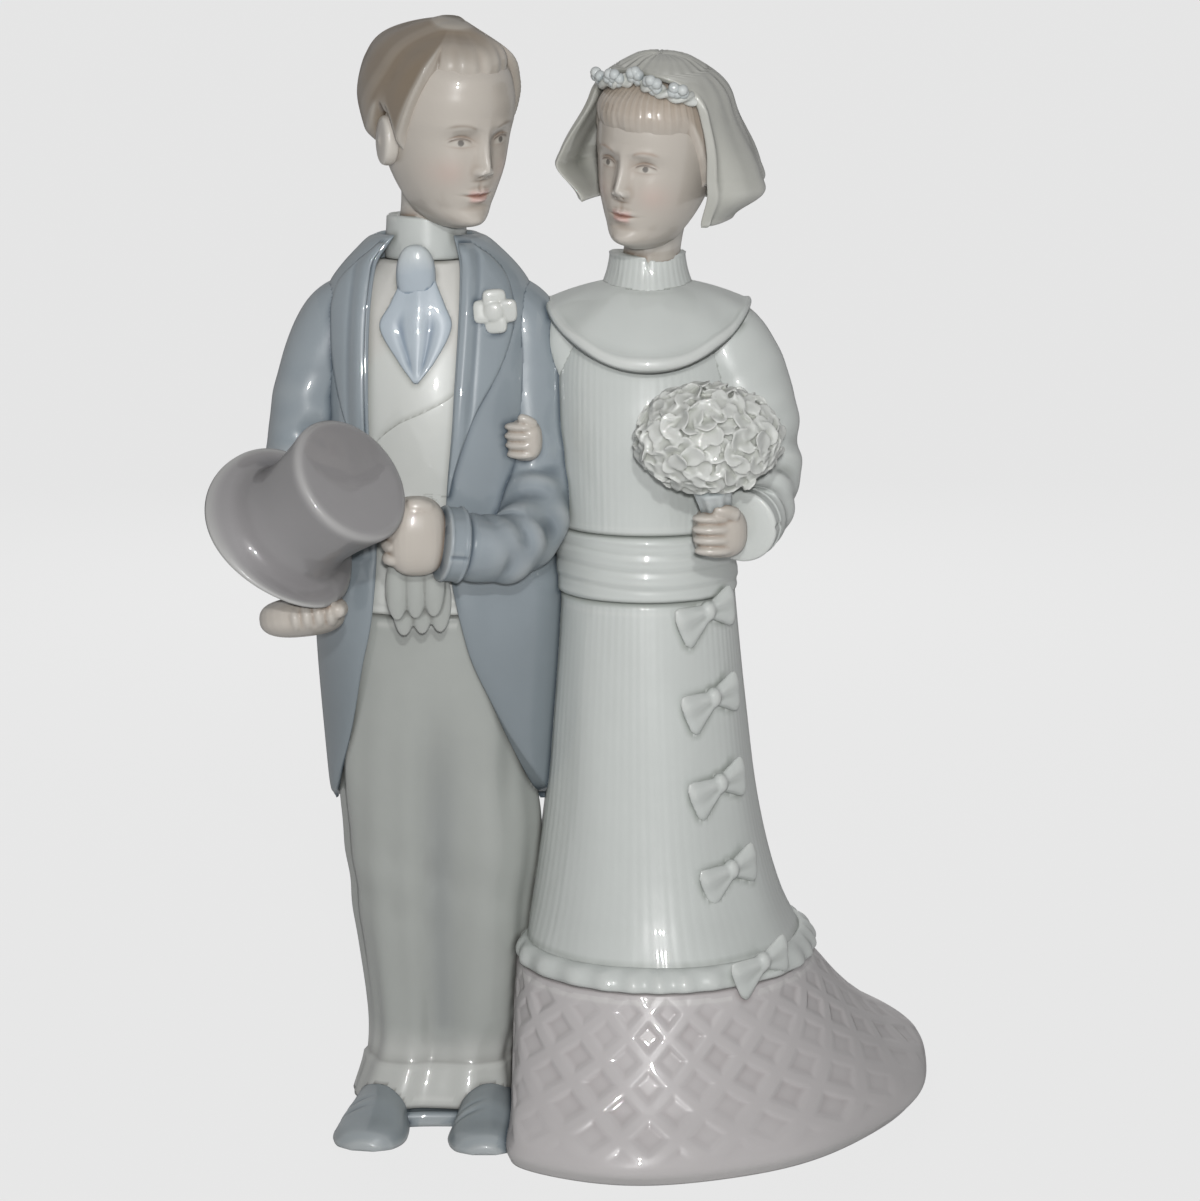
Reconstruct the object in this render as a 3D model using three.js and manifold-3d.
// A glazed porcelain wedding couple, standing arm in arm: a groom in a morning coat, his top hat in his hand,
// and a bride in a high-necked gown with a swept train, a short veil, a wreath of beads and a round bouquet.
// Millimetres, +Z up. The viewer stands at -Y, so +X is to the viewer's right; left and right in names are
// the wearer's own.
import * as THREE from "three";
import { mergeVertices } from "three/addons/utils/BufferGeometryUtils.js";
import Module from "manifold-3d";

const wasm = await Module();
wasm.setup();
const { clamp, degToRad, lerp, smoothstep } = THREE.MathUtils;

// How the figure is cast and stuck together
const SEAT = 0.3; // slip joint that two pieces are modelled with
const JOINT = 0.26; // least slip joint that a piece is trimmed to
const FOOT_RIM = 4.4; // width of the rim that the gown stands on, round the slab
const VENT_RADIUS = 3.5; // hole that lets air out of the gown in the kiln
const VENT_DEPTH = 14; // from the slab up into the gown
const BASE_PLATE = 2.2; // slab that closes the gown's underside
const BASE_RECESS = 0.8; // how far the slab sits above the foot rim

// Gown, from the floor up
const GOWN_X = 8.2; // middle of the bride's waist, to the viewer's right of the meeting line
const TRAIN_LENGTH = 101;
const TRAIN_WIDTH = 81;
const TRAIN_TURN = 52; // degrees from +X to the long axis of the train, which sweeps back to her left
const TRAIN_SHIFT = new THREE.Vector2(8.3, 6); // middle of the train from the middle of the waist
const HEM_LIP = 2.6; // height of the rounded lip at the floor
const TRAIN_HEIGHT = 30; // level of the overskirt's rolled hem
const HEM_WIDTH = 55;
const KNEE_RISE = 27; // hem to knee
const KNEE_WIDTH = 39.2;
const HIP_RISE = 19;
const HIP_WIDTH = 35;
const WAIST_RISE = 20;
const WAIST_WIDTH = 31.4;
const WAIST_DEPTH = 28.6;
const SASH_HEIGHT = 11.5;
const SASH_THICKNESS = 0.8;
const BUST_RISE = 18.5; // sash to bust
const BUST_WIDTH = 32.6;
const BUST_DEPTH = 28.4;
const SHOULDER_RISE = 16;
const SHOULDER_WIDTH = 30;
const SHOULDER_DEPTH = 20;
const NECKLINE_RISE = 7;
const NECKLINE_WIDTH = 15.5;
const HEM_ROLL_TALL = 3.8;
const HEM_ROLL_THICK = 2;

// Lattice worked into the train
const LATTICE_COLUMNS = 22; // diamonds round the train
const LATTICE_ROWS = 3;
const LATTICE_DEPTH = 1.1;
const LATTICE_BORDER = 5.5; // plain band above the floor

// Cape collar and neckband
const CAPE_WIDTH = 36;
const CAPE_DEPTH = 31;
const CAPE_DROP_FRONT = 13.6; // neck to the collar's edge
const CAPE_DROP_SIDE = 3.6;
const CAPE_THICKNESS = 1.3;
const NECKBAND_RADIUS = 7;
const NECKBAND_HEIGHT = 6.2;
const NECKBAND_FLARE = 0.9;

// Groom's body, from the floor up
const GROOM_X = -29.5;
const TROUSER_HEM_WIDTH = 28.4;
const TROUSER_DEPTH = 21;
const CALF_HEIGHT = 19;
const CALF_WIDTH = 26;
const GROOM_KNEE_HEIGHT = 40;
const GROOM_KNEE_WIDTH = 30.4;
const THIGH_HEIGHT = 66;
const THIGH_WIDTH = 35.4;
const LEG_LENGTH = 93; // floor to the top of the trousers
const TURN_UP_HEIGHT = 7.4;
const TURN_UP_THICKNESS = 0.6;
const LEG_GROOVE = 2.6;
const COAT_DEPTH = 28.5;
const COAT_THICKNESS = 2.3;
const TAIL_LENGTH = 36; // from the top of the trousers down to the coat's hem
const COAT_HEM_WIDTH = 38.8;
const SEAT_WIDTH = 42;
const COAT_WAIST_RISE = 14;
const COAT_WAIST_WIDTH = 38.6;
const CHEST_RISE = 21;
const CHEST_WIDTH = 38.4;
const COAT_SHOULDER_RISE = 17;
const COAT_SHOULDER_WIDTH = 37.6;
const SLOPE_RISE = 8;
const SLOPE_WIDTH = 27;
const COAT_NECK_RISE = 5.6;
const COAT_NECK_WIDTH = 16;
const LAPEL_THICKNESS = 0.9;
const TAIL_VENT_LENGTH = 31;
const TAIL_VENT_WIDTH = 1.4;
const TAIL_BUTTON_RADIUS = 1.5;

// Collar and cravat
const SHIRT_COLLAR_RADIUS = 6.5;
const SHIRT_COLLAR_RISE = 3.2; // above the coat's neckline
const CRAVAT_THICKNESS = 1.5;
const CRAVAT_LENGTH = 19;
const KNOT_WIDTH = 6;
const KNOT_HEIGHT = 6.6;
const WAISTCOAT_FLAP = 0.6; // thickness of the crossed front

// Feet
const SHOE_LENGTH = 24;
const SHOE_WIDTH = 11.6;
const SHOE_HEIGHT = 8;
const FEET_APART = 17.2;
const SLAB_THICKNESS = 2.7;
const SLAB_WIDTH = 27;
const SLAB_DEPTH = 30;

// Top hat, held by its brim
const HAT_HEIGHT = 19.6;
const HAT_CROWN_RADIUS = 11.3;
const HAT_THROAT_RADIUS = 9.9;
const HAT_BRIM_RADIUS = 15;
const HAT_BRIM_CURL = 1.7;
const HAT_WALL = 1.6;
const HAT_AXIS = new THREE.Vector3(0.644, -0.531, 0.55).normalize();
const HAT_FROM_WRIST = new THREE.Vector3(-2.4, -7, 11.5); // middle of the brim

// Heads and necks
const GROOM_HEAD_HEIGHT = 32.4; // chin to crown, without the hair
const BRIDE_HEAD_HEIGHT = 29.5;
const GROOM_NECK_RADIUS = 5.4;
const BRIDE_NECK_RADIUS = 4.9;
const HAIR_THICKNESS = 1.5;
const BRIDE_HAIR_THICKNESS = 1;
const VEIL_THICKNESS = 1.4;
const VEIL_GAP = 0.7; // between the hair and the veil over it
const VEIL_FLARE = 6.6;
const WREATH_RADIUS = 1.15;
const BEAD_RADIUS = 1.35;
const BEADS_IN_CLUSTER = 3;
const WREATH_CLUSTERS = 5;

// Sleeves, cuffs and hands; each arm's line is given as steps from its shoulder
const GROOM_SLEEVE_RADIUS = 7;
const GROOM_WRIST_RADIUS = 5.8;
const SLEEVE_INSET = 3;
const CUFF_LENGTH = 3.6;
const BRIDE_SLEEVE_RADIUS = 8.2;
const BRIDE_WRIST_RADIUS = 5.2;

// Bouquet, buttonhole flower and bows
const BOUQUET_WIDTH = 25.4;
const BOUQUET_HEIGHT = 19;
const BOUQUET_DEPTH = 17.6;
const BOUQUET_FROM_HAND = new THREE.Vector3(-2.2, -3.4, 16.4);
const PETAL_COUNT = 14;
const PETAL_SIZE = 3.5;
const HOLDER_TOP_RADIUS = 3.6;
const HOLDER_RADIUS = 2.5;
const FLOWER_RADIUS = 4;
const BOW_COUNT = 5;
const BOW_PLACE = -50; // degrees round the skirt from +X, so at the front, towards her left
const BOW_SIZE = 5.6;
const BOW_THICKNESS = 1.8;

const glaze = (color, roughness = 0.12) => new THREE.MeshStandardMaterial({ color, roughness, metalness: 0 });
const materials = {
  coat: glaze(0x8f9ca8),
  trousers: glaze(0xabaeac),
  waistcoat: glaze(0xd2d3cf),
  cravat: glaze(0xacb9c6),
  shoe: glaze(0x7c8991),
  hat: glaze(0x979395),
  skin: glaze(0xcbbfb4),
  hair: glaze(0x857869),
  brideHair: glaze(0xb8a090),
  gown: glaze(0xcdd0cc),
  train: glaze(0xc4c1c4),
  veil: glaze(0xc2c4c0),
  flower: glaze(0xcfcfca),
  bead: glaze(0xc3c8ca),
};

// Levels that the sizes above add up to
const knee = TRAIN_HEIGHT + KNEE_RISE;
const hip = knee + HIP_RISE;
const waist = hip + WAIST_RISE;
const sashTop = waist + SASH_HEIGHT;
const bust = sashTop + BUST_RISE;
const shoulder = bust + SHOULDER_RISE;
const neckline = shoulder + NECKLINE_RISE;
const coatHem = LEG_LENGTH - TAIL_LENGTH;
const coatWaist = LEG_LENGTH + COAT_WAIST_RISE;
const chest = coatWaist + CHEST_RISE;
const coatShoulder = chest + COAT_SHOULDER_RISE;
const slope = coatShoulder + SLOPE_RISE;
const coatTop = slope + COAT_NECK_RISE;

const bell = (x, centre, width) => Math.exp(-(((x - centre) / width) ** 2));
const at = (x, y, z) => new THREE.Vector3(x, y, z);

/** A smooth curve through [place, value] pairs in rising order of place, flat beyond its ends. */
function curveThrough(pairs) {
  const slope = (i) => {
    const [a, b] = [pairs[Math.max(i - 1, 0)], pairs[Math.min(i + 1, pairs.length - 1)]];
    return (b[1] - a[1]) / (b[0] - a[0]);
  };
  return (place) => {
    if (place <= pairs[0][0]) return pairs[0][1];
    if (place >= pairs.at(-1)[0]) return pairs.at(-1)[1];
    const i = pairs.findIndex((pair) => pair[0] > place) - 1;
    const [[from, low], [to, high]] = [pairs[i], pairs[i + 1]];
    const span = to - from;
    const t = (place - from) / span;
    return (
      low * (1 + 2 * t) * (1 - t) ** 2 + high * t * t * (3 - 2 * t) +
      span * (slope(i) * t * (1 - t) ** 2 + slope(i + 1) * t * t * (t - 1))
    );
  };
}

/** The solid of a closed geometry, turned to face outwards. */
function solidOf(geometry) {
  const bare = geometry.clone();
  bare.deleteAttribute("normal");
  bare.deleteAttribute("uv");
  const merged = mergeVertices(bare, 1e-4);
  const vertProperties = merged.attributes.position.array;
  const make = (triVerts) => new wasm.Manifold(new wasm.Mesh({ numProp: 3, vertProperties, triVerts }));
  const made = make(new Uint32Array(merged.index.array));
  return made.volume() < 0 ? make(new Uint32Array(merged.index.array).reverse()) : made;
}

function geometryOf(solid) {
  const { numProp, vertProperties, triVerts } = solid.getMesh();
  const corners = [];
  for (let i = 0; i < vertProperties.length; i += numProp) corners.push(...vertProperties.subarray(i, i + 3));
  return new THREE.BufferGeometry()
    .setAttribute("position", new THREE.Float32BufferAttribute(corners, 3))
    .setIndex(Array.from(triVerts));
}

/** A closed skin through rings. point(angle, t) is a corner; the angle runs once round and t from 0 to 1. */
function skin(point, sides, steps) {
  const corners = [];
  const index = [];
  for (let j = 0; j <= steps; j++)
    for (let i = 0; i < sides; i++) corners.push(point((2 * Math.PI * i) / sides, j / steps, i, j));
  const middle = (from) => {
    const sum = at(0, 0, 0);
    for (let i = 0; i < sides; i++) sum.add(corners[from + i]);
    return sum.divideScalar(sides);
  };
  const [start, end] = [middle(0), middle(steps * sides)];
  corners.push(start, end);
  for (let i = 0; i < sides; i++) {
    const next = (i + 1) % sides;
    for (let j = 0; j < steps; j++) {
      const [a, b, c, d] = [j * sides + i, j * sides + next, (j + 1) * sides + i, (j + 1) * sides + next];
      if ((i + j) % 2) index.push(a, b, c, b, d, c);
      else index.push(a, b, d, a, d, c);
    }
    index.push(corners.length - 2, next, i, corners.length - 1, steps * sides + i, steps * sides + next);
  }
  return solidOf(new THREE.BufferGeometry().setFromPoints(corners).setIndex(index));
}

/** The same solid with every face moved outwards by at least a distance, to cut room for it in a neighbour. */
function grown(solid, by) {
  const geometry = geometryOf(solid);
  const { position } = geometry.attributes;
  const corners = [];
  for (let i = 0; i < position.count; i++) corners.push(at(0, 0, 0).fromBufferAttribute(position, i));
  const facesAt = corners.map(() => []);
  for (let i = 0; i < geometry.index.count; i += 3) {
    const triangle = [0, 1, 2].map((k) => geometry.index.getX(i + k));
    const [a, b, c] = triangle.map((corner) => corners[corner]);
    const normal = b.clone().sub(a).cross(c.clone().sub(a));
    if (normal.length() < 1e-4) continue;
    normal.normalize();
    triangle.forEach((corner, k) => {
      const [before, after] = [corners[triangle[(k + 2) % 3]], corners[triangle[(k + 1) % 3]]];
      const angle = before.clone().sub(corners[corner]).angleTo(after.clone().sub(corners[corner]));
      facesAt[corner].push({ normal, angle });
    });
  }
  corners.forEach((corner, i) => {
    const out = at(0, 0, 0);
    facesAt[i].forEach(({ normal, angle }) => out.addScaledVector(normal, angle));
    out.normalize();
    const least = Math.min(...facesAt[i].map(({ normal }) => normal.dot(out)), 1);
    position.setXYZ(i, ...corner.addScaledVector(out, by / Math.max(least, 0.4)));
  });
  return solidOf(geometry);
}

/** The largest body of a solid, without the offcuts that a cut leaves. */
function mainBody(solid) {
  return solid.decompose().reduce((best, body) => (body.volume() > best.volume() ? body : best));
}

const joined = (...solids) => solids.reduce((all, solid) => all.add(solid));

/** An upright form: turned ellipses at a few heights, with a smooth run between them. */
class Form {
  /** Where beside is given, the form is flattened against that plane of X instead of reaching past it. */
  constructor(levels, beside) {
    const curve = (key, missing) => curveThrough(levels.map((level) => [level.z, level[key] ?? missing]));
    this.x = curve("x", 0);
    this.y = curve("y", 0);
    this.wide = curve("wide");
    this.deep = curve("deep");
    this.turn = curve("turn", 0);
    this.square = curve("square", 2);
    this.bottom = levels[0].z;
    this.top = levels.at(-1).z;
    this.beside = beside;
  }

  /** Eases a place across the figure so that it never passes the plane that the form leans on. */
  eased(x, grow) {
    if (this.beside === undefined) return x;
    const plane = this.beside - grow;
    return plane + (x - plane + Math.hypot(x - plane, 3)) / 2;
  }

  /** The corner of the skin at an angle and a height; grow moves it outwards. */
  point(angle, z, grow = 0) {
    const power = 2 / this.square(z);
    const side = (value) => Math.sign(value) * Math.abs(value) ** power;
    const u = (this.wide(z) / 2 + grow) * side(Math.cos(angle));
    const v = (this.deep(z) / 2 + grow) * side(Math.sin(angle));
    const turn = degToRad(this.turn(z));
    const x = this.x(z) + u * Math.cos(turn) - v * Math.sin(turn);
    return at(this.eased(x, grow), this.y(z) + u * Math.sin(turn) + v * Math.cos(turn), z);
  }

  /** The front corner of the skin at a place across the figure. */
  front(x, z, grow = 0) {
    const share = (x - this.x(z)) / (this.wide(z) / 2 + grow);
    return this.point(-Math.acos(clamp(share, -1, 1)), z, grow);
  }

  /** The solid between two heights; relief(angle, z) adds to the radius. */
  solid({ from = this.bottom, to = this.top, sides = 32, steps = 10, grow = 0, relief = () => 0 } = {}) {
    return skin(
      (angle, t) => {
        const z = lerp(from, to, t);
        return this.point(angle, z, grow + relief(angle, z));
      },
      sides,
      steps,
    );
  }
}

/** A round limb along a smooth line of points, with a radius at each, closed by blunt ends. */
function limb(points, radii, { sides = 14, steps = 10, flat = 1 } = {}) {
  const line = new THREE.CatmullRomCurve3(points);
  const radiusAt = curveThrough(radii.map((radius, i) => [i / (radii.length - 1), radius]));
  const frames = line.computeFrenetFrames(steps, false);
  return skin(
    (angle, t) => {
      const step = Math.round(t * steps);
      const end = Math.min(t, 1 - t) < 1e-6 ? 0.72 : 1;
      const radius = radiusAt(t) * end;
      return line
        .getPoint(t)
        .addScaledVector(frames.normals[step], radius * Math.cos(angle) * flat)
        .addScaledVector(frames.binormals[step], radius * Math.sin(angle));
    },
    sides,
    steps,
  );
}

/** A rounded lump with its own radii, turned by Euler angles in degrees. */
function lump(centre, radii, turns = [0, 0, 0], [sides, rows] = [12, 8]) {
  const geometry = new THREE.SphereGeometry(1, sides, rows);
  geometry.applyMatrix4(
    new THREE.Matrix4().compose(
      centre,
      new THREE.Quaternion().setFromEuler(new THREE.Euler(...turns.map((turn) => degToRad(turn)))),
      at(...radii),
    ),
  );
  return solidOf(geometry);
}

/** An outline in the X-Z plane, run through the front of the figure from y = near to y = far. */
function frontBlock(outline, near, far) {
  const shape = new THREE.Shape(outline.map(([x, z]) => new THREE.Vector2(x, z)));
  const geometry = new THREE.ExtrudeGeometry(shape, { depth: far - near, bevelEnabled: false });
  geometry.rotateX(Math.PI / 2).translate(0, far, 0);
  return solidOf(geometry);
}

/** An outline in the Y-Z plane, run across the figure from one place to another. */
function sideBlock(outline, from, to) {
  const shape = new THREE.Shape(outline.map(([y, z]) => new THREE.Vector2(y, z)));
  const geometry = new THREE.ExtrudeGeometry(shape, { depth: to - from, bevelEnabled: false });
  const upright = new THREE.Matrix4().makeBasis(at(0, 1, 0), at(0, 0, 1), at(1, 0, 0));
  geometry.applyMatrix4(upright.setPosition(from, 0, 0));
  return solidOf(geometry);
}

/** An outline in the X-Y plane, run up from one height to another. */
function floorBlock(outline, from, to, hole) {
  const shape = new THREE.Shape(outline);
  if (hole) shape.holes.push(hole);
  const geometry = new THREE.ExtrudeGeometry(shape, { depth: to - from, bevelEnabled: false });
  geometry.translate(0, 0, from);
  return solidOf(geometry);
}

/** Turns a solid that was made upright at the origin into its place. */
const placed = (solid, matrix) => solidOf(geometryOf(solid).applyMatrix4(matrix));

/** A line of points, given as steps from its start. */
const lineFrom = (start, steps) => steps.map(([x, y, z]) => start.clone().add(at(x, y, z)));

// The gown
const besideGroom = GROOM_X + TROUSER_HEM_WIDTH / 2 - 0.7;
const trainLevel = (z, share, shrink = 0) => ({
  z,
  x: lerp(GOWN_X + 2, GOWN_X + TRAIN_SHIFT.x, share),
  y: TRAIN_SHIFT.y * share,
  wide: lerp(HEM_WIDTH, TRAIN_LENGTH - shrink, share),
  deep: lerp(HEM_WIDTH, TRAIN_WIDTH - shrink, share),
  turn: TRAIN_TURN,
});
const trainForm = new Form(
  [
    trainLevel(0, 1, HEM_LIP),
    trainLevel(HEM_LIP, 1),
    trainLevel(lerp(HEM_LIP, TRAIN_HEIGHT, 0.12), 0.96),
    trainLevel(lerp(HEM_LIP, TRAIN_HEIGHT, 0.33), 0.66),
    trainLevel(lerp(HEM_LIP, TRAIN_HEIGHT, 0.61), 0.34),
    trainLevel(TRAIN_HEIGHT, 0),
  ],
  besideGroom,
);
const skirtForm = new Form(
  [
    { z: TRAIN_HEIGHT, x: GOWN_X + 2, wide: HEM_WIDTH + 1, deep: HEM_WIDTH + 1 },
    {
      z: lerp(TRAIN_HEIGHT, knee, 0.4),
      x: GOWN_X + 1.2,
      wide: lerp(HEM_WIDTH, KNEE_WIDTH, 0.54),
      deep: lerp(HEM_WIDTH, KNEE_WIDTH, 0.54),
    },
    { z: knee, x: GOWN_X + 0.6, wide: KNEE_WIDTH, deep: KNEE_WIDTH },
    { z: hip, x: GOWN_X + 0.2, wide: HIP_WIDTH, deep: HIP_WIDTH - 1 },
    { z: waist, x: GOWN_X, wide: WAIST_WIDTH, deep: WAIST_DEPTH },
  ],
  besideGroom + HEM_ROLL_THICK,
);
const bodiceForm = new Form([
  { z: waist, x: GOWN_X, wide: WAIST_WIDTH, deep: WAIST_DEPTH },
  { z: sashTop, x: GOWN_X, wide: WAIST_WIDTH, deep: WAIST_DEPTH },
  { z: bust, x: GOWN_X, y: -0.6, wide: BUST_WIDTH, deep: BUST_DEPTH },
  { z: shoulder, x: GOWN_X, wide: SHOULDER_WIDTH, deep: SHOULDER_DEPTH },
  { z: neckline, x: GOWN_X, y: 0.4, wide: NECKLINE_WIDTH, deep: NECKLINE_WIDTH - 1 },
]);

/** A flat block under the train, its edge a given distance inside the train's, with or without the vent. */
function underTrain(inset, from, to, vent) {
  const outline = Array.from({ length: 16 }, (_, i) => {
    const { x, y } = trainForm.point((2 * Math.PI * i) / 16, BASE_RECESS, -inset);
    return new THREE.Vector2(x, y);
  });
  const [x, y] = [GOWN_X + TRAIN_SHIFT.x, TRAIN_SHIFT.y];
  const hole = new THREE.Path().absarc(x, y, VENT_RADIUS, 0, 2 * Math.PI, true);
  return floorBlock(outline, from, to, vent ? hole : undefined);
}

/** The slab under the gown, with the hole that vents the casting. */
const basePlate = () => underTrain(FOOT_RIM + 1.5 * SEAT, BASE_RECESS, BASE_RECESS + BASE_PLATE, true);

/** The train: crossing ribs, a sunk diamond in every cell, a plain rounded lip and a recess for the slab. */
function underskirt() {
  const lattice = 2 * LATTICE_ROWS;
  const steps = lattice + 2;
  const cloth = skin(
    (angle, t, column, row) => {
      const onLattice = lerp(LATTICE_BORDER, TRAIN_HEIGHT - SEAT, (row - 2) / lattice);
      const z = row < 2 ? row * HEM_LIP : onLattice;
      const sunk = row > 2 && row < steps && (column + row) % 2 === 1;
      return trainForm.point(angle, z, sunk ? -LATTICE_DEPTH : 0);
    },
    2 * LATTICE_COLUMNS,
    steps,
  );
  const recessTop = BASE_RECESS + BASE_PLATE + 1.5 * SEAT;
  const ventCentre = at(GOWN_X + TRAIN_SHIFT.x, TRAIN_SHIFT.y, 0);
  const vent = new THREE.CylinderGeometry(VENT_RADIUS, VENT_RADIUS, VENT_DEPTH, 12);
  vent.rotateX(Math.PI / 2).translate(ventCentre.x, ventCentre.y, recessTop + VENT_DEPTH / 2 - 1);
  return cloth.subtract(underTrain(FOOT_RIM, -1, recessTop, false)).subtract(solidOf(vent));
}

/** A rolled band that goes round a form at one height. */
function rolledBand(form, height, tall, thick, sides = 20, around = 6) {
  const corners = [];
  const index = [];
  for (let i = 0; i < sides; i++)
    for (let j = 0; j < around; j++) {
      const roll = (2 * Math.PI * j) / around;
      const z = height + (tall / 2) * Math.sin(roll);
      corners.push(form.point((2 * Math.PI * i) / sides, z, (thick / 2) * (0.2 + 1.4 * Math.cos(roll))));
      const [a, b] = [i * around + j, i * around + ((j + 1) % around)];
      const [c, d] = [((i + 1) % sides) * around + j, ((i + 1) % sides) * around + ((j + 1) % around)];
      index.push(a, c, b, b, c, d);
    }
  return solidOf(new THREE.BufferGeometry().setFromPoints(corners).setIndex(index));
}

/** The cape collar: a thin cone on the shoulders that dips at front and back. */
function capeCollar() {
  const top = neckline + 1.4;
  const surface = (angle, share, under) => {
    const drop = lerp(CAPE_DROP_SIDE, CAPE_DROP_FRONT, Math.abs(Math.sin(angle)) ** 1.6) * share ** 1.5;
    return at(
      GOWN_X + Math.cos(angle) * lerp(NECKBAND_RADIUS - 1, CAPE_WIDTH / 2, share),
      0.3 + Math.sin(angle) * lerp(NECKBAND_RADIUS - 1, CAPE_DEPTH / 2, share),
      top - drop - under,
    );
  };
  const outer = [0, 0.4, 0.75, 1].map((share) => [share, 0]);
  const inner = [0.98, 0.6, 0].map((share) => [share, CAPE_THICKNESS]);
  const rings = [...outer, ...inner];
  return skin((angle, _, column, ring) => surface(angle, ...rings[ring]), 18, rings.length - 1);
}

/** The stand-up neckband, wider where it meets the cape. */
function neckband() {
  const level = (z, radius) => ({ z, x: GOWN_X, y: 0.3, wide: 2 * radius, deep: 2 * radius });
  const form = new Form([
    level(neckline + SEAT, NECKBAND_RADIUS + NECKBAND_FLARE),
    level(neckline + NECKBAND_HEIGHT * 0.45, NECKBAND_RADIUS),
    level(neckline + NECKBAND_HEIGHT, NECKBAND_RADIUS - 0.5),
  ]);
  return form.solid({ sides: 16, steps: 2 });
}

/** One wing of a bow: narrow at the knot, widest near its end. */
function bowWing(way, size, droop) {
  const along = at(way * Math.cos(droop), 0, -Math.sin(droop));
  const up = at(way * Math.sin(droop), 0, Math.cos(droop));
  const tall = curveThrough([[0, 0.2], [0.5, 0.46], [0.85, 0.6], [1, 0.36]]);
  const thick = curveThrough([[0, 1], [0.6, 0.9], [0.85, 0.6], [1, 0.25]]);
  return skin(
    (angle, t) =>
      along
        .clone()
        .multiplyScalar(size * t)
        .addScaledVector(up, size * tall(t) * Math.cos(angle))
        .add(at(0, (-way * BOW_THICKNESS * thick(t) * Math.sin(angle)) / 1.4 - 0.3, 0)),
    6,
    3,
  );
}

/** A bow that stands out from the gown, at an angle round it and a height: two wings hang from a knot. */
function bow(form, angle, height, standOut) {
  const side = form.point(angle + 0.05, height).sub(form.point(angle - 0.05, height)).normalize();
  const inwards = at(0, 0, 1).cross(side);
  const turn = new THREE.Matrix4().makeBasis(side, inwards, at(0, 0, 1));
  turn.setPosition(form.point(angle, height, standOut));
  const knot = lump(at(0, -0.4, 0.2), [BOW_SIZE * 0.28, BOW_THICKNESS, BOW_SIZE * 0.34], [0, 0, 0], [6, 4]);
  return placed(joined(bowWing(-1, BOW_SIZE * 1.2, 0.65), bowWing(1, BOW_SIZE, 0.3), knot), turn);
}

// The groom's body
const trouserLevel = (z, wide, deeper = 0, x = 0, y = 0) => {
  return { z, x: GROOM_X + x, y, wide, deep: TROUSER_DEPTH + deeper };
};
const shinHeight = lerp(SLAB_THICKNESS, CALF_HEIGHT, 0.45);
const trouserForm = new Form([
  trouserLevel(SLAB_THICKNESS + SEAT, TROUSER_HEM_WIDTH, 0.4, -0.7, -1.5),
  trouserLevel(shinHeight, lerp(TROUSER_HEM_WIDTH, CALF_WIDTH, 0.9), -2, 0.3, -1),
  trouserLevel(CALF_HEIGHT, CALF_WIDTH, -2, 0.4, -0.8),
  trouserLevel(GROOM_KNEE_HEIGHT, GROOM_KNEE_WIDTH, 0.6, -0.1, -0.5),
  trouserLevel(THIGH_HEIGHT, THIGH_WIDTH, 2.6, 0, -0.2),
  trouserLevel(LEG_LENGTH, SEAT_WIDTH - 3 * COAT_THICKNESS, 2.4),
]);

/** The two legs: a groove down the front and the back, deepest at the shins, and a turn-up at the hem. */
function legRelief(angle, z) {
  const groove = LEG_GROOVE * smoothstep(LEG_LENGTH - z, 6, 34);
  const turnUp = z < SLAB_THICKNESS + TURN_UP_HEIGHT ? TURN_UP_THICKNESS : 0;
  return turnUp - groove * (bell(angle, 1.5 * Math.PI, 0.3) + bell(angle, 0.5 * Math.PI, 0.3));
}

/** The trousers, with rows of corners close together at the turn-up's upper edge. */
function trousers() {
  const turnUp = SLAB_THICKNESS + TURN_UP_HEIGHT;
  const upperRows = [CALF_HEIGHT, GROOM_KNEE_HEIGHT, THIGH_HEIGHT, LEG_LENGTH];
  const rows = [trouserForm.bottom, turnUp - 0.1, turnUp + 0.3, ...upperRows];
  return skin(
    (angle, _, column, row) => trouserForm.point(angle, rows[row], legRelief(angle, rows[row])),
    20,
    rows.length - 1,
  );
}

const coatLevel = (z, wide, deep, x = 0, y = 0.4) => ({ z, x: GROOM_X + x, y, wide, deep });
const coatForm = new Form([
  coatLevel(coatHem, COAT_HEM_WIDTH, COAT_DEPTH, 0.4, 1.2),
  coatLevel(LEG_LENGTH, SEAT_WIDTH, COAT_DEPTH + 0.6),
  coatLevel(coatWaist, COAT_WAIST_WIDTH, COAT_DEPTH - 1.4),
  coatLevel(chest, CHEST_WIDTH, COAT_DEPTH),
  coatLevel(coatShoulder, COAT_SHOULDER_WIDTH, COAT_DEPTH - 6),
  coatLevel(slope, SLOPE_WIDTH, COAT_DEPTH - 11),
  coatLevel(coatTop, COAT_NECK_WIDTH, COAT_NECK_WIDTH - 1, -0.3, 0.8),
]);
const torsoLevel = (z, wide, deep) => coatLevel(z, wide - 2 * COAT_THICKNESS, deep - 2 * COAT_THICKNESS);
const torsoForm = new Form([
  torsoLevel(LEG_LENGTH + SEAT, SEAT_WIDTH, COAT_DEPTH + 0.6),
  torsoLevel(coatWaist, COAT_WAIST_WIDTH, COAT_DEPTH - 1.4),
  torsoLevel(chest, CHEST_WIDTH, COAT_DEPTH),
  torsoLevel(coatShoulder, COAT_SHOULDER_WIDTH, COAT_DEPTH - 6),
  torsoLevel(slope + 1, SLOPE_WIDTH - 5, COAT_DEPTH - 11),
]);
const torso = () => torsoForm.solid({ sides: 20, steps: 5 });

// The front of the coat is laid out in shares of its width at the shoulders and of the rise from the chest
const across = (share) => share * COAT_SHOULDER_WIDTH;
const rise = (share) => share * COAT_SHOULDER_RISE;

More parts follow.
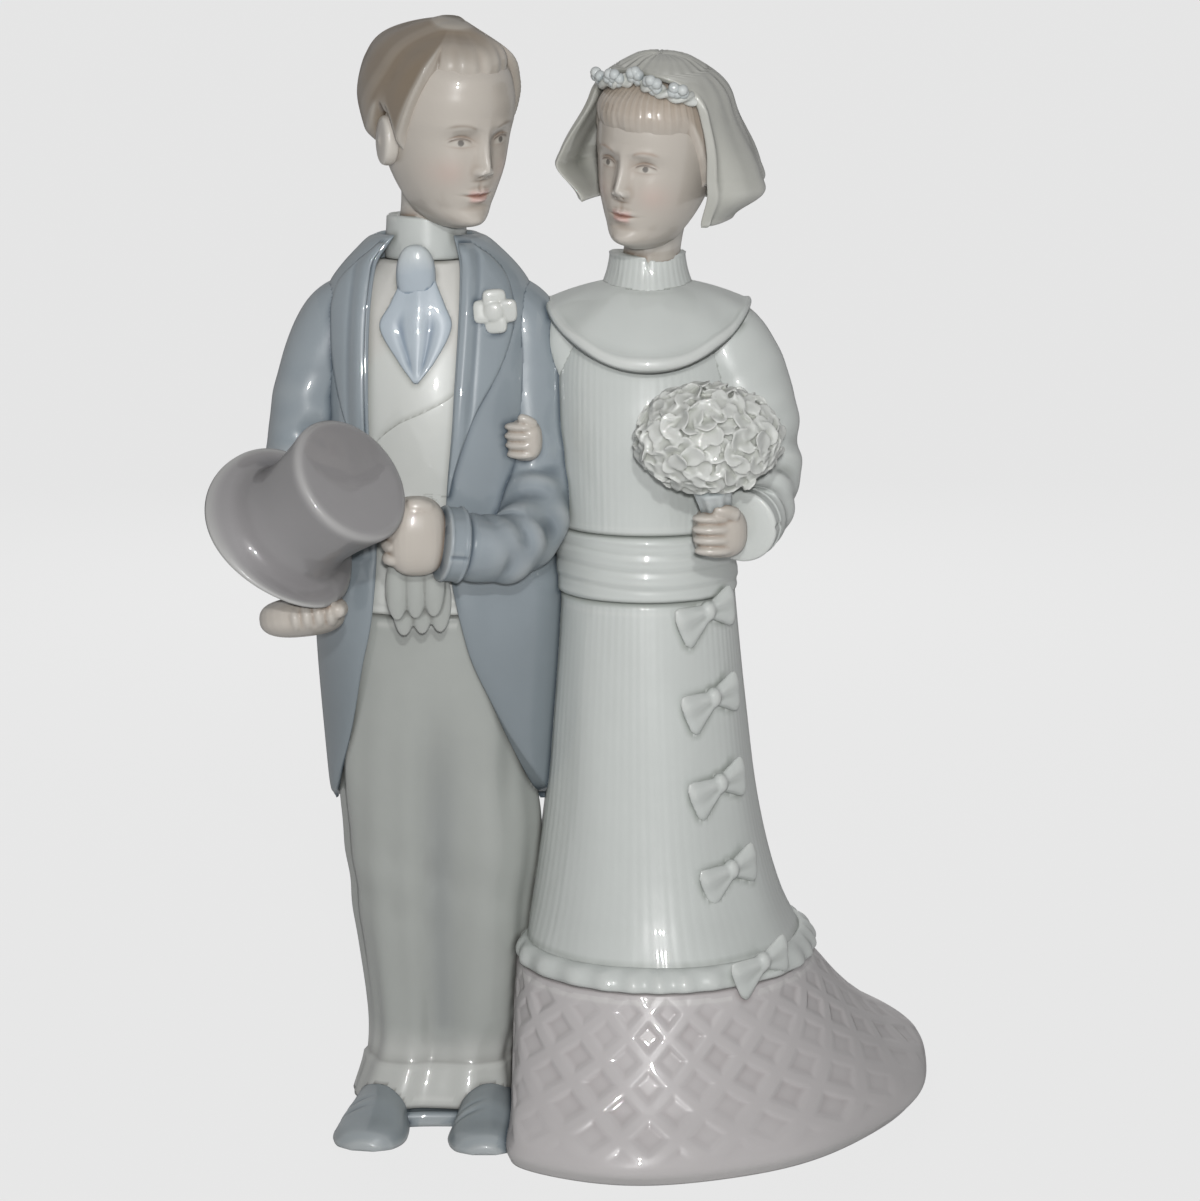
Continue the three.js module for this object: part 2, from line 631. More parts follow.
/** Front edges of the open coat: distance from the groom's middle at each height. */
const frontEdgeRight = curveThrough([
  [coatHem, -COAT_HEM_WIDTH / 2],
  [lerp(coatHem, LEG_LENGTH, 0.4), across(-0.404)],
  [lerp(coatHem, LEG_LENGTH, 0.75), across(-0.335)],
  [LEG_LENGTH, across(-0.282)],
  [coatWaist, across(-0.255)],
  [chest, across(-0.287)],
  [slope, across(-0.255)],
  [coatTop, across(-0.165)],
]);
const frontEdgeLeft = curveThrough([
  [coatHem, across(0.543)],
  [lerp(coatHem, LEG_LENGTH, 0.3), across(0.41)],
  [lerp(coatHem, LEG_LENGTH, 0.55), across(0.303)],
  [lerp(coatHem, LEG_LENGTH, 0.85), across(0.181)],
  [coatWaist, across(0.085)],
  [chest, across(0.122)],
  [slope, across(0.16)],
  [coatTop, across(0.133)],
]);
const onGroom = (outline) => outline.map(([x, z]) => [GROOM_X + x, z]);

/** The open front of the coat, from below the hem to above the neck. */
function coatOpening() {
  const heights = Array.from({ length: 9 }, (_, i) => lerp(coatHem - 2, coatTop + 2, i / 8));
  const right = heights.map((z) => [frontEdgeRight(z), z]);
  const left = heights.map((z) => [frontEdgeLeft(z), z]);
  return frontBlock(onGroom([...right, ...left.reverse()]), -COAT_DEPTH, -2);
}

/** The coat, open in front and slit behind; it becomes a shell where the torso and trousers fill it. */
function coat() {
  const half = TAIL_VENT_WIDTH / 2;
  const slit = [[-half, coatHem - 2], [half, coatHem - 2], [0, coatHem + TAIL_VENT_LENGTH]];
  const vent = frontBlock(onGroom(slit), COAT_DEPTH / 2 - COAT_THICKNESS, COAT_DEPTH);
  return coatForm.solid({ sides: 20, steps: 7 }).subtract(coatOpening()).subtract(vent);
}

/** The part of a thin layer over a form that an outline covers, seen from the front. */
function frontPatch(form, outline, thickness) {
  const heights = outline.map(([, z]) => z);
  const from = Math.max(Math.min(...heights) - 1, form.bottom);
  const to = Math.min(Math.max(...heights) + 1, form.top);
  const layer = form.solid({ from, to, sides: 20, steps: 7, grow: SEAT + thickness });
  return layer.intersect(frontBlock(outline, -COAT_DEPTH, -1));
}

/** A lapel's outline: the coat's front edge on one side, its own points, top to bottom, on the other. */
function lapelOutline(frontEdge, outer) {
  const [top, bottom] = [outer[0][1], outer.at(-1)[1]];
  const inner = [0, 0.33, 0.67, 1].map((t) => lerp(bottom, top, t)).map((z) => [frontEdge(z), z]);
  return onGroom([...outer, ...inner]);
}

const lapelRight = () => {
  const notch = coatShoulder + rise(0.18);
  return lapelOutline(frontEdgeRight, [
    [across(-0.223), coatTop - rise(0.082)],
    [across(-0.362), slope - rise(0.059)],
    [across(-0.431), notch + rise(0.024)],
    [across(-0.399), notch - rise(0.047)],
    [across(-0.447), notch - rise(0.235)],
    [across(-0.431), chest + rise(0.47)],
    [across(-0.362), chest - rise(0.059)],
    [across(-0.271), coatWaist + rise(0.588)],
  ]);
};
const lapelLeft = () => {
  const notch = coatShoulder + rise(0.18);
  return lapelOutline(frontEdgeLeft, [
    [across(0.197), coatTop - rise(0.082)],
    [across(0.356), slope - rise(0.118)],
    [across(0.388), notch + rise(0.047)],
    [across(0.356), notch - rise(0.024)],
    [across(0.404), notch - rise(0.224)],
    [across(0.346), chest + rise(0.506)],
    [across(0.223), chest],
    [across(0.104), coatWaist + rise(0.47)],
  ]);
};
const cravatOutline = () => {
  const tip = slope - CRAVAT_LENGTH;
  const [widest, narrow] = [tip + 0.474 * CRAVAT_LENGTH, tip + 0.232 * CRAVAT_LENGTH];
  const top = [[across(-0.096), slope - rise(0.059)], [across(0.011), slope - rise(0.059)]];
  const right = [[across(0.085), widest], [across(0.011), narrow], [across(-0.053), tip]];
  return onGroom([...top, ...right, [across(-0.122), narrow], [across(-0.191), widest]]);
};
const flapOutline = () => {
  const outer = [[across(0.101), chest + rise(0.353)], [across(0.096), chest - rise(0.353)]];
  return onGroom([...outer, [across(-0.25), coatWaist + rise(0.353)], [across(-0.25), coatWaist + rise(0.729)]]);
};

function shirtCollar() {
  const level = (z, radius) => ({ z, x: GROOM_X - 0.5, y: 0.7, wide: 2 * radius, deep: 2 * radius });
  const form = new Form([
    level(slope + 1 + SEAT, SHIRT_COLLAR_RADIUS),
    level(coatTop + SHIRT_COLLAR_RISE, SHIRT_COLLAR_RADIUS - 0.3),
  ]);
  return form.solid({ sides: 16, steps: 1 });
}

function cravatKnot() {
  const centre = at(GROOM_X - 1.6, -SLOPE_WIDTH / 2 + 3.6, slope + 0.6);
  return lump(centre, [KNOT_WIDTH / 2, 2.4, KNOT_HEIGHT / 2], [14, 0, 0], [10, 6]);
}

/** A shoe from heel to toe, flat on the floor. */
function shoe(heel, heading) {
  const width = curveThrough([[0, 0.6], [0.2, 0.8], [0.5, 0.86], [0.78, 1], [0.94, 0.76], [1, 0.4]]);
  const height = curveThrough([[0, 0.8], [0.35, 1], [0.6, 0.9], [0.78, 0.64], [0.94, 0.46], [1, 0.26]]);
  const along = at(Math.sin(degToRad(heading)), -Math.cos(degToRad(heading)), 0);
  const across = at(-along.y, along.x, 0);
  return skin(
    (_, t, column) => {
      const arch = (Math.PI * column) / 7;
      return heel
        .clone()
        .addScaledVector(along, t * SHOE_LENGTH)
        .addScaledVector(across, (width(t) * SHOE_WIDTH * Math.cos(arch)) / 2)
        .add(at(0, 0, height(t) * SHOE_HEIGHT * Math.sin(arch) ** 0.8));
    },
    8,
    7,
  );
}

/** The flat web that joins the two shoes. */
function footSlab() {
  const form = new Form([{ z: 0, x: GROOM_X + 0.5, wide: SLAB_WIDTH, deep: SLAB_DEPTH, square: 3 }]);
  const outline = [];
  for (let i = 0; i < 16; i++) {
    const { x, y } = form.point((2 * Math.PI * i) / 16, 0);
    outline.push(new THREE.Vector2(x, y));
  }
  return floorBlock(outline, 0, SLAB_THICKNESS);
}

function tailButton(side) {
  const centre = coatForm.point(0.5 * Math.PI + side * 0.24, coatWaist - 4);
  return lump(centre, [TAIL_BUTTON_RADIUS, 1, TAIL_BUTTON_RADIUS], [0, 0, 0], [7, 5]);
}

// Heads: level slices from chin to crown, in shares of the head's height; the face looks along -Y
const faceDepth = curveThrough([
  [0, 0.2], [0.06, 0.325], [0.15, 0.335], [0.35, 0.35], [0.5, 0.352], [0.6, 0.37], [0.74, 0.365],
  [0.87, 0.305], [1, 0.05],
]);
const napeDepth = curveThrough([
  [0, -0.08], [0.06, 0.04], [0.15, 0.19], [0.25, 0.31], [0.35, 0.385], [0.5, 0.44], [0.62, 0.455],
  [0.75, 0.43], [0.87, 0.345], [1, 0.05],
]);
const headBreadth = curveThrough([
  [0, 0.09], [0.06, 0.165], [0.15, 0.225], [0.25, 0.268], [0.35, 0.295], [0.5, 0.32], [0.62, 0.328],
  [0.75, 0.31], [0.87, 0.25], [1, 0.05],
]);
const noseRidge = curveThrough([
  [0.3, 0], [0.34, 0.065], [0.38, 0.085], [0.45, 0.06], [0.52, 0.03], [0.58, 0.008], [0.64, 0],
]);

/** How far the features stand out of the plain head, for a place across the face and a share of the height. */
function features(across, share) {
  const nose = noseRidge(share) * bell(across, 0, 0.05 - 0.02 * share);
  const sockets = -0.03 * bell(share, 0.505, 0.055) * bell(Math.abs(across), 0.125, 0.075);
  const lips = 0.018 * (bell(share, 0.235, 0.018) + bell(share, 0.19, 0.022)) * bell(across, 0, 0.075);
  const chin = 0.018 * bell(share, 0.06, 0.05) * bell(across, 0, 0.09);
  const cheeks = 0.012 * bell(share, 0.36, 0.09) * bell(Math.abs(across), 0.17, 0.07);
  return nose + sockets + lips + chin + cheeks;
}

/** A corner of a head's skin in its own frame, with the chin at the origin; grow moves it outwards. */
function headPoint(height, angle, share, grow = 0) {
  const front = -Math.sin(angle);
  const across = headBreadth(share) * Math.cos(angle);
  const depth = front > 0 ? faceDepth(share) * front ** 0.9 : napeDepth(share) * front;
  const relief = front > 0 && grow === 0 ? features(across, share) * front : 0;
  const side = height * across + grow * Math.cos(angle);
  return at(side, -height * (depth + relief) - grow * front, height * share);
}

const HEAD_SLICES = [0, 0.05, 0.12, 0.19, 0.24, 0.3, 0.38, 0.51, 0.61, 0.78, 0.92, 1];

/** A head without hair; its corners crowd together in front, where the features are. */
function headSolid(height) {
  const steps = HEAD_SLICES.length - 1;
  return skin(
    (angle, t) => {
      const fromFront = angle + 0.5 * Math.PI;
      const crowded = angle - 0.42 * Math.sin(fromFront);
      return headPoint(height, crowded, HEAD_SLICES[Math.round(t * steps)]);
    },
    18,
    steps,
  );
}

/** Hair: a layer over the head that dives under the skin along its hairline. */
function hairSolid(height, thickness, hairline) {
  return skin(
    (angle, t) => {
      const share = lerp(0.16, 1, t ** 0.9);
      const cover = smoothstep(share - hairline(-Math.sin(angle)), -0.04, 0.05);
      const point = headPoint(height, angle, share, lerp(-1.6, thickness, cover));
      point.z += thickness * smoothstep(share, 0.8, 1);
      return point;
    },
    16,
    6,
  );
}

/** Where a head stands: its chin, its heading away from the viewer, its nod and its lean, in degrees. */
function headFrame(chin, heading, nod, lean) {
  const turn = new THREE.Euler(degToRad(nod), degToRad(lean), degToRad(heading), "ZXY");
  return new THREE.Matrix4().makeRotationFromEuler(turn).setPosition(chin);
}
const groomHeadFrame = headFrame(at(GROOM_X + 1.9, -3.2, coatTop + SHIRT_COLLAR_RISE - 0.4), 38, 13, -3);
const brideHeadFrame = headFrame(at(GOWN_X + 0.4, -6.6, neckline + NECKBAND_HEIGHT + 2.2), -33, 6, 8);

function neck(foot, radius, frame, height) {
  const top = at(0, height * 0.05, height * 0.3).applyMatrix4(frame);
  const line = [foot, foot.clone().lerp(top, 0.5), top];
  return limb(line, [radius, radius * 0.95, radius * 1.2], { sides: 8, steps: 3 });
}

const ear = (side) => {
  const height = GROOM_HEAD_HEIGHT;
  const centre = at(side * height * 0.318, height * 0.04, height * 0.42);
  return lump(centre, [height * 0.035, height * 0.06, height * 0.1], [-12, 0, 0], [6, 5]);
};

function groomHead() {
  const foot = at(GROOM_X - 0.5, 1.2, slope + 1 + 2 * SEAT);
  const bare = joined(headSolid(GROOM_HEAD_HEIGHT), ear(-1), ear(1));
  return joined(placed(bare, groomHeadFrame), neck(foot, GROOM_NECK_RADIUS, groomHeadFrame, GROOM_HEAD_HEIGHT));
}

function brideHead() {
  const foot = at(GOWN_X + 0.2, 0.6, neckline + 2 * SEAT);
  const bare = placed(headSolid(BRIDE_HEAD_HEIGHT), brideHeadFrame);
  return joined(bare, neck(foot, BRIDE_NECK_RADIUS, brideHeadFrame, BRIDE_HEAD_HEIGHT));
}

const groomHair = () => {
  const hairline = (front) => lerp(0.32, 0.82, smoothstep(front, -0.3, 0.5));
  return placed(hairSolid(GROOM_HEAD_HEIGHT, HAIR_THICKNESS, hairline), groomHeadFrame);
};
const brideHair = () => {
  const hairline = (front) => lerp(0.3, 0.7, smoothstep(front, -0.1, 0.5));
  return placed(hairSolid(BRIDE_HEAD_HEIGHT, BRIDE_HAIR_THICKNESS, hairline), brideHeadFrame);
};

/** One skin of the veil's bell, in the head's own frame. */
function veilBell(from, grow) {
  const height = BRIDE_HEAD_HEIGHT;
  return skin(
    (angle, t) => {
      const share = lerp(from, 1, t ** 0.85);
      const spread = 1 - smoothstep(share, 0.3, 0.82);
      const folds = 0.9 * spread * Math.cos(5 * angle);
      const out = BRIDE_HAIR_THICKNESS + VEIL_GAP + grow + VEIL_FLARE * spread + folds;
      const point = headPoint(height, angle, Math.max(share, 0.46), out);
      point.z = height * share + (BRIDE_HAIR_THICKNESS + VEIL_GAP + grow) * smoothstep(share, 0.75, 1);
      return point;
    },
    20,
    5,
  );
}

/** The veil: a thin bell over the crown and the back of the head, open round the face. */
function veil() {
  const height = BRIDE_HEAD_HEIGHT;
  const shell = veilBell(0.18, VEIL_THICKNESS).subtract(veilBell(0.1, 0));
  const front = [[0.06, -0.1], [0.02, 0.5], [-0.12, 0.84], [-0.2, 1.4], [-1, 1.4], [-1, -0.1]];
  const face = sideBlock(front.map(([y, z]) => [y * height, z * height]), -height, height);
  return placed(shell.subtract(face), brideHeadFrame);
}

/** A point of the wreath, which runs over the brow from temple to temple, in shares of its length. */
function wreathPoint(t, lift) {
  const across = degToRad(lerp(-78, 78, t));
  const share = lerp(0.93, 0.84, Math.abs(2 * t - 1));
  const point = headPoint(BRIDE_HEAD_HEIGHT, across - 0.5 * Math.PI, share, BRIDE_HAIR_THICKNESS + 0.7 * lift);
  return point.add(at(0, 0, BRIDE_HAIR_THICKNESS + 0.7 * lift)).applyMatrix4(brideHeadFrame);
}

const wreathBand = () => {
  const line = [0, 0.2, 0.4, 0.6, 0.8, 1].map((t) => wreathPoint(t, WREATH_RADIUS * 0.8));
  return limb(line, line.map(() => WREATH_RADIUS), { sides: 5, steps: 7 });
};

/** A few beads set close together on the wreath. */
function beadCluster(t) {
  const beads = Array.from({ length: BEADS_IN_CLUSTER }, (_, i) => {
    const around = (2 * Math.PI * i) / BEADS_IN_CLUSTER + 9 * t;
    const step = (0.9 * BEAD_RADIUS * Math.cos(around)) / BRIDE_HEAD_HEIGHT;
    const lift = WREATH_RADIUS + 0.9 + 0.6 * Math.sin(around) * BEAD_RADIUS;
    return lump(wreathPoint(t + step, lift), [BEAD_RADIUS, BEAD_RADIUS, BEAD_RADIUS], [0, 0, 0], [5, 3]);
  });
  return joined(...beads);
}

// Arms, hands and what they hold
const GROOM_RIGHT_ARM = [
  [3, 0, 6], [0, 0, 0], [-4.6, -1, -12.5], [-6.9, -3.5, -26], [-7.4, -9.4, -37], [-5, -17, -43.5],
];
const GROOM_LEFT_ARM = [
  [-3.8, 0, 5.8], [0, 0, 0], [1.3, -1, -12.5], [2.4, -5, -27.5], [-0.4, -15.4, -35], [-5.6, -20.6, -35.4],
  [-11, -22.4, -34.6],
];
const BRIDE_LEFT_ARM = [
  [-2.5, 0, 4], [0, 0, 0], [4.6, -1, -9.5], [7, -4, -22], [6, -10.6, -29], [4, -16.4, -29.4],
];
const BRIDE_RIGHT_ARM = [[2.5, 0, 4], [0, 0, 0], [1.4, 4, -12], [0.4, 7.4, -20], [-6, 8.4, -22]];

const armPitch = coatShoulder - 2.5;
const groomRightArm = lineFrom(coatForm.point(Math.PI, armPitch, -SLEEVE_INSET), GROOM_RIGHT_ARM);
const groomLeftArm = lineFrom(coatForm.point(0, armPitch, -SLEEVE_INSET), GROOM_LEFT_ARM);
const brideLeftArm = lineFrom(bodiceForm.point(0, shoulder - 2, -SLEEVE_INSET), BRIDE_LEFT_ARM);
const brideRightArm = lineFrom(bodiceForm.point(Math.PI, shoulder - 2, -SLEEVE_INSET), BRIDE_RIGHT_ARM);

/** A sleeve along an arm's line, swelling from a shoulder to its fullest and in to the wrist. */
function sleeve(line, fullest, wrist) {
  const radii = line.map((_, i) => {
    const t = i / (line.length - 1);
    return lerp(fullest * (0.8 + 0.2 * Math.sin(Math.PI * Math.min(t * 1.4, 1))), wrist, t ** 3);
  });
  return limb(line, radii, { sides: 10, steps: 7 });
}

/** A turned-back cuff round the end of a sleeve. */
function cuff(line, radius, length) {
  const end = line.at(-1);
  const along = end.clone().sub(line.at(-2)).normalize();
  const ends = [-0.5, length - 0.5].map((step) => end.clone().addScaledVector(along, step));
  return limb(ends, [radius, radius], { sides: 12, steps: 2 });
}

/** A closed hand: a palm, with fingers laid side by side from the first one on. */
function hand(palm, palmRadii, turns, first, step, fingerRadii, count = 4) {
  const fingers = Array.from({ length: count }, (_, i) =>
    lump(palm.clone().add(at(...first)).addScaledVector(at(...step), i), fingerRadii, turns, [5, 3]),
  );
  return joined(lump(palm, palmRadii, turns, [7, 5]), ...fingers);
}

const groomLeftWrist = groomLeftArm.at(-1);
const groomLeftPalm = groomLeftWrist.clone().add(at(-6.6, -1.6, 1.8));
const groomLeftHand = () => {
  return hand(groomLeftPalm, [5.2, 4.6, 6], [0, 0, 8], [-2.6, -2.8, 3.6], [0.2, 0, -2.5], [3.4, 2, 1.5]);
};
const groomRightWrist = groomRightArm.at(-1);
const groomRightPalm = groomRightWrist.clone().add(at(0.2, -6.2, -3.4));
const groomRightHand = () => {
  return hand(groomRightPalm, [7.4, 6, 3.4], [-14, 0, 0], [-4.8, -4.6, 1.2], [3.2, -0.2, 0.2], [1.7, 3, 2.4]);
};
const brideLeftWrist = brideLeftArm.at(-1);
const brideLeftPalm = brideLeftWrist.clone().add(at(-4.6, -5.6, -0.4));
const brideLeftHand = () => {
  return hand(brideLeftPalm, [5, 4.2, 4.8], [0, 0, 8], [-1.6, -2.8, 2.9], [0.1, 0, -1.95], [3.6, 2, 1.2]);
};
const brideRightPalm = groomLeftArm[2].clone().lerp(groomLeftArm[3], 0.5);
brideRightPalm.add(at(-1.4, -GROOM_SLEEVE_RADIUS - 0.6, 1.4));
const brideRightHand = () => {
  return hand(brideRightPalm, [3.1, 2.6, 3.7], [0, 0, -14], [-1, -1, 2.4], [0.1, 0, -1.6], [2.4, 1.6, 1]);
};

/** A pair of gloves folded in the hand: two layers of hanging fingers. */
function gloves() {
  const layer = (count, [x, y, z], length) =>
    Array.from({ length: count }, (_, i) =>
      lump(groomLeftPalm.clone().add(at(x + 2.4 * i, y, z + 0.5 * i)), [1.5, 1.4, length], [0, 0, 0], [5, 3]),
    );
  return joined(...layer(3, [-2.6, 4.4, -9.4], 5.4), ...layer(3, [-1, 5.8, -13], 4.6));
}

/** The top hat's frame: its own +Y runs along the crown's axis, with the flat of the crown at the origin. */
const hatFrame = new THREE.Matrix4()
  .makeRotationFromQuaternion(new THREE.Quaternion().setFromUnitVectors(at(0, 1, 0), HAT_AXIS))
  .setPosition(groomRightWrist.clone().add(HAT_FROM_WRIST).addScaledVector(HAT_AXIS, HAT_HEIGHT));

/** The hat: a turned profile, hollow from the brim up, with the brim curled at both sides. */
function topHat() {
  const [crown, throat, brim] = [HAT_CROWN_RADIUS, HAT_THROAT_RADIUS, HAT_BRIM_RADIUS];
  const [wall, tall] = [HAT_WALL, HAT_HEIGHT];
  const inside = [[0, -wall], [crown - wall, -wall], [throat - wall, -0.62 * tall], [throat - wall, 3 - tall]];
  const rim = [[throat + 1, 0.6 - tall], [brim - 0.4, -0.6 - tall], [brim, -tall], [brim - 0.4, 0.7 - tall]];
  const side = [[throat + 1.4, 2.4 - tall], [throat, 5 - tall], [throat + 0.2, -0.5 * tall], [crown, -0.7]];
  const rings = [...inside, ...rim, ...side, [crown - 0.7, 0], [0, 0]];
  const profile = rings.map(([radius, along]) => new THREE.Vector2(radius, along));
  const geometry = new THREE.LatheGeometry(profile, 18);
  const { position } = geometry.attributes;
  for (let i = 0; i < position.count; i++) {
    const [x, y, z] = [position.getX(i), position.getY(i), position.getZ(i)];
    const reach = Math.max(Math.hypot(x, z) - throat, 0) / (brim - throat);
    const onBrim = smoothstep(-y, 0.7 * tall, tall);
    position.setY(i, y + HAT_BRIM_CURL * onBrim * reach ** 2 * Math.cos(2 * Math.atan2(z, x)));
  }
  return placed(solidOf(geometry), hatFrame);
}

/** The bouquet's flowers: cupped petals spread evenly over a core by the golden angle. */
function bouquetFlowers() {
  const centre = brideLeftPalm.clone().add(BOUQUET_FROM_HAND);
  const reach = at(BOUQUET_WIDTH, BOUQUET_DEPTH, BOUQUET_HEIGHT).multiplyScalar(0.5).subScalar(1.2);
  const golden = Math.PI * (3 - Math.sqrt(5));
  const petals = Array.from({ length: PETAL_COUNT }, (_, i) => {
    const up = 1 - (2 * (i + 0.5)) / PETAL_COUNT;
    const ring = Math.sqrt(1 - up * up);
    const direction = at(ring * Math.cos(golden * i), ring * Math.sin(golden * i), up);
    const facing = new THREE.Quaternion().setFromUnitVectors(at(0, 0, 1), direction);
    const tilt = new THREE.Quaternion().setFromAxisAngle(at(Math.cos(2.1 * i), Math.sin(2.1 * i), 0), 0.5);
    const petal = new THREE.SphereGeometry(1, 5, 3);
    const place = direction.multiply(reach).add(centre);
    const size = at(PETAL_SIZE, PETAL_SIZE * 0.8, 1.2);
    petal.applyMatrix4(new THREE.Matrix4().compose(place, facing.multiply(tilt), size));
    return solidOf(petal);
  });
  return joined(lump(centre, reach.toArray(), [0, 0, 0], [9, 5]), ...petals);
}

/** The holder: a short flared stem from the flowers down into the fist. */
function bouquetHolder() {
  const top = brideLeftPalm.clone().add(BOUQUET_FROM_HAND).add(at(0.6, 0.6, -BOUQUET_HEIGHT / 2 + 2));
  const middle = brideLeftPalm.clone().add(at(-0.6, -0.4, 3));
  const foot = brideLeftPalm.clone().add(at(-0.4, 0, -3.6));
  const radii = [HOLDER_TOP_RADIUS, HOLDER_RADIUS, HOLDER_RADIUS - 0.5];
  return limb([top, middle, foot], radii, { sides: 10, steps: 4 });
}

/** The buttonhole flower on the left lapel: four round petals about a bead. */
function buttonholeFlower() {
  const across = GROOM_X + frontEdgeLeft(coatShoulder) + 6.4;
  const centre = coatForm.front(across, coatShoulder + 1.4, LAPEL_THICKNESS + 2 * SEAT);
  const petals = Array.from({ length: 4 }, (_, i) => {
    const around = degToRad(20 + i * 90);
    const step = at(Math.cos(around), 0, Math.sin(around)).multiplyScalar(0.58 * FLOWER_RADIUS);
    return lump(centre.clone().add(step), [FLOWER_RADIUS * 0.44, 0.9, FLOWER_RADIUS * 0.44], [8, 0, 0], [6, 3]);
  });
  return joined(...petals, lump(centre, [1.2, 1.6, 1.2], [0, 0, 0], [5, 3]));
}

// Assembly: one group for each figure, with frames of their own for the heads and the hat
const figure = new THREE.Group();
const couple = new THREE.Group();
figure.add(couple);
const frames = {};

/** Adds a group that carries pieces, at a place in the world of the figure. */
function addFrame(name, parent, matrix) {
  const group = new THREE.Group();
  const local = parent.matrixWorld.clone().invert().multiply(matrix);
  local.decompose(group.position, group.quaternion, group.scale);
  parent.add(group);
  group.updateMatrixWorld(true);
  frames[name] = group;
}
addFrame("groom", couple, new THREE.Matrix4().setPosition(GROOM_X, 0, 0));
addFrame("bride", couple, new THREE.Matrix4().setPosition(GOWN_X, 0, 0));
addFrame("groomHead", frames.groom, groomHeadFrame);
addFrame("brideHead", frames.bride, brideHeadFrame);
addFrame("hat", frames.groom, hatFrame);

const standing = [];
const boxOf = (solid) => new THREE.Box3().setFromBufferAttribute(geometryOf(solid).attributes.position);

/** Trims a piece to fit against all that already stands, with a slip joint between, and adds it. */
function seat(name, solid, material, frame) {
  const reach = boxOf(solid).expandByScalar(SEAT);
  const near = standing.filter(({ box }) => box.intersectsBox(reach));
  const fitted = mainBody(near.reduce((left, { room }) => left.subtract(room), solid));
  standing.push({ box: boxOf(fitted), room: grown(fitted, JOINT) });
  const geometry = geometryOf(fitted).applyMatrix4(frames[frame].matrixWorld.clone().invert());
  const mesh = new THREE.Mesh(geometry, materials[material]);
  mesh.name = name;
  frames[frame].add(mesh);
}

// Groom, from his feet up
seat("shoe_right", shoe(at(GROOM_X + 0.6 - FEET_APART / 2, 1.5, 0), -9), "shoe", "groom");
seat("shoe_left", shoe(at(GROOM_X + 0.6 + FEET_APART / 2, 0, 0), 0), "shoe", "groom");
seat("foot_slab", footSlab(), "shoe", "groom");
seat("groom_head", groomHead(), "skin", "groomHead");
seat("groom_hair", groomHair(), "hair", "groomHead");
seat("shirt_collar", shirtCollar(), "waistcoat", "groom");
seat("groom_trousers", trousers(), "trousers", "groom");
seat("waistcoat", torso(), "waistcoat", "groom");
seat("waistcoat_flap", frontPatch(torsoForm, flapOutline(), WAISTCOAT_FLAP), "waistcoat", "groom");
seat("cravat_knot", cravatKnot(), "cravat", "groom");
seat("cravat_blades", frontPatch(torsoForm, cravatOutline(), CRAVAT_THICKNESS), "cravat", "groom");
seat("morning_coat", coat(), "coat", "groom");
seat("lapel_right", frontPatch(coatForm, lapelRight(), LAPEL_THICKNESS), "coat", "groom");
seat("lapel_left", frontPatch(coatForm, lapelLeft(), LAPEL_THICKNESS), "coat", "groom");
seat("tail_button_right", tailButton(1), "coat", "groom");
seat("tail_button_left", tailButton(-1), "coat", "groom");
seat("buttonhole_flower", buttonholeFlower(), "flower", "groom");
seat("top_hat", topHat(), "hat", "hat");
seat("groom_hand_right", groomRightHand(), "skin", "groom");
const groomSleeve = (line) => sleeve(line, GROOM_SLEEVE_RADIUS, GROOM_WRIST_RADIUS);
seat("groom_sleeve_right", groomSleeve(groomRightArm), "coat", "groom");
seat("groom_cuff_left", cuff(groomLeftArm, GROOM_WRIST_RADIUS + 0.6, CUFF_LENGTH), "coat", "groom");
seat("groom_hand_left", groomLeftHand(), "skin", "groom");
seat("groom_sleeve_left", groomSleeve(groomLeftArm), "coat", "groom");
seat("gloves", gloves(), "trousers", "groom");

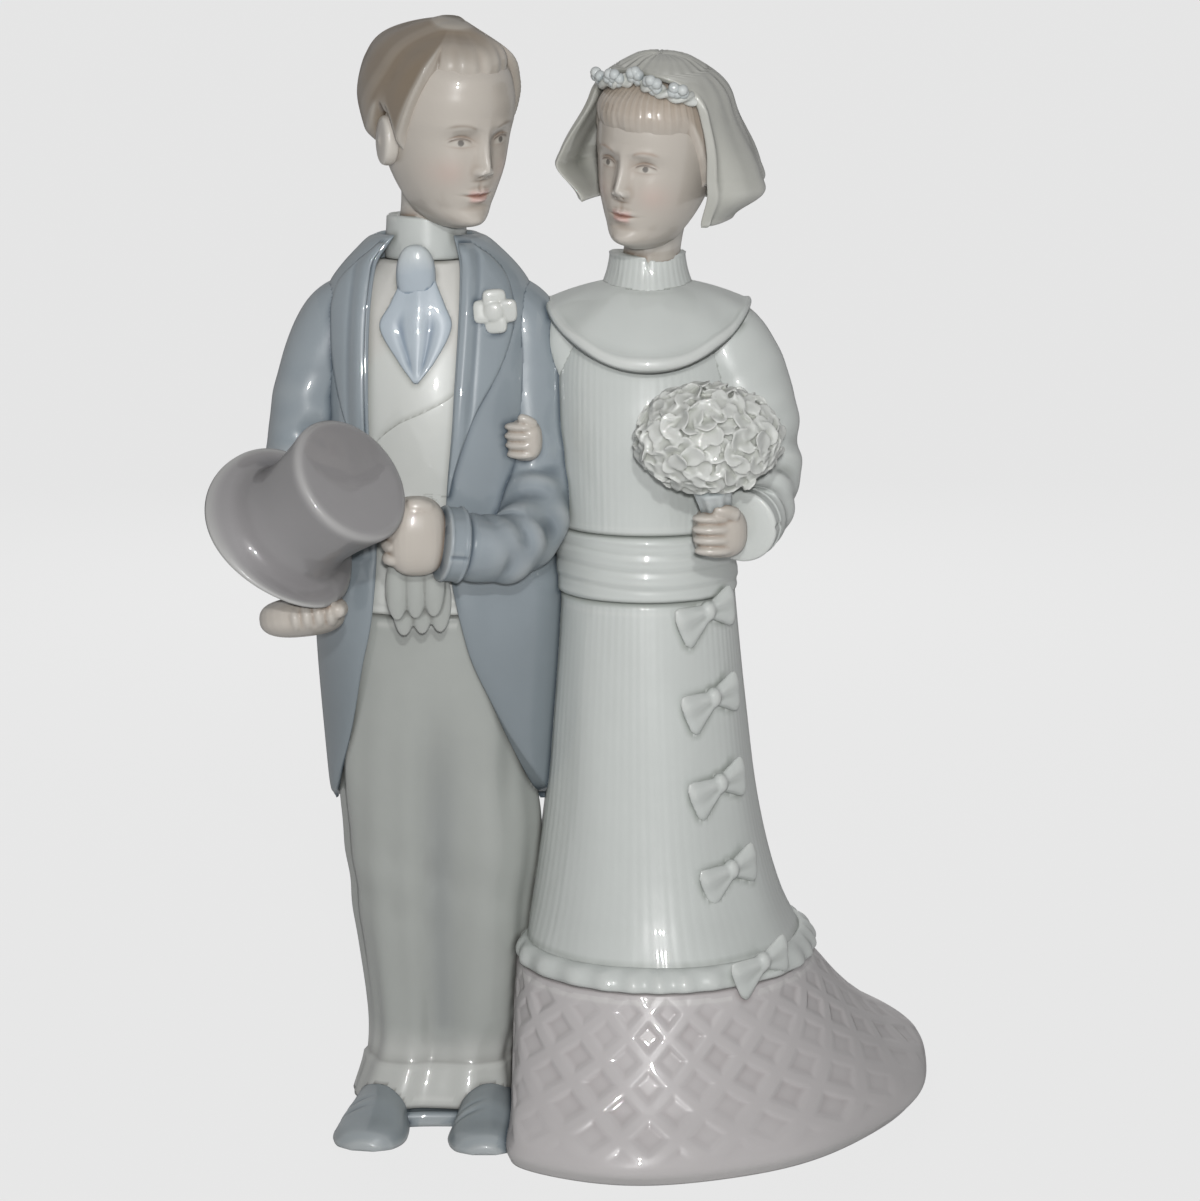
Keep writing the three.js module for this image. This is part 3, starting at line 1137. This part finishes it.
// Bride, from her head down
seat("bride_head", brideHead(), "skin", "brideHead");
seat("bride_hair", brideHair(), "brideHair", "brideHead");
seat("veil", veil(), "veil", "brideHead");
seat("wreath_band", wreathBand(), "flower", "brideHead");
for (let i = 0; i < WREATH_CLUSTERS; i++) {
  const place = lerp(0.17, 0.83, i / (WREATH_CLUSTERS - 1));
  seat(`wreath_beads_${i + 1}`, beadCluster(place), "bead", "brideHead");
}
seat("neckband", neckband(), "gown", "bride");
seat("bodice", bodiceForm.solid({ from: sashTop + SEAT, sides: 20, steps: 5 }), "gown", "bride");
seat("cape_collar", capeCollar(), "gown", "bride");
const sash = bodiceForm.solid({ from: waist, to: sashTop, sides: 20, steps: 2, grow: SASH_THICKNESS });
seat("sash", sash, "gown", "bride");
const overskirt = skirtForm.solid({ from: TRAIN_HEIGHT + SEAT, to: waist - SEAT, sides: 20, steps: 5 });
seat("overskirt", overskirt, "gown", "bride");
seat("base_plate", basePlate(), "train", "bride");
seat("underskirt", underskirt(), "train", "bride");
const hemRollMiddle = TRAIN_HEIGHT + SEAT + HEM_ROLL_TALL / 2;
seat("hem_roll", rolledBand(skirtForm, hemRollMiddle, HEM_ROLL_TALL, HEM_ROLL_THICK), "gown", "bride");
for (let i = 0; i < BOW_COUNT; i++) {
  const height = lerp(waist - 2, TRAIN_HEIGHT + HEM_ROLL_TALL, i / (BOW_COUNT - 1));
  const standOut = i === BOW_COUNT - 1 ? HEM_ROLL_THICK : 0;
  seat(`bow_${i + 1}`, bow(skirtForm, degToRad(BOW_PLACE), height, standOut), "gown", "bride");
}
seat("bouquet_flowers", bouquetFlowers(), "flower", "bride");
seat("bouquet_holder", bouquetHolder(), "bead", "bride");
seat("bride_hand_left", brideLeftHand(), "skin", "bride");
seat("bride_cuff_left", cuff(brideLeftArm, BRIDE_WRIST_RADIUS + 0.9, CUFF_LENGTH), "gown", "bride");
seat("bride_sleeve_left", sleeve(brideLeftArm, BRIDE_SLEEVE_RADIUS, BRIDE_WRIST_RADIUS), "gown", "bride");
seat("bride_hand_right", brideRightHand(), "skin", "bride");
const innerSleeve = sleeve(brideRightArm, BRIDE_SLEEVE_RADIUS - 1.6, BRIDE_WRIST_RADIUS - 0.6);
seat("bride_sleeve_right", innerSleeve, "gown", "bride");

// The origin is under the middle of the whole figure, on the surface that it stands on
const whole = new THREE.Box3().setFromObject(couple, true);
couple.position.set(-(whole.min.x + whole.max.x) / 2, -(whole.min.y + whole.max.y) / 2, -whole.min.z);
figure.updateMatrixWorld(true);

export default figure;
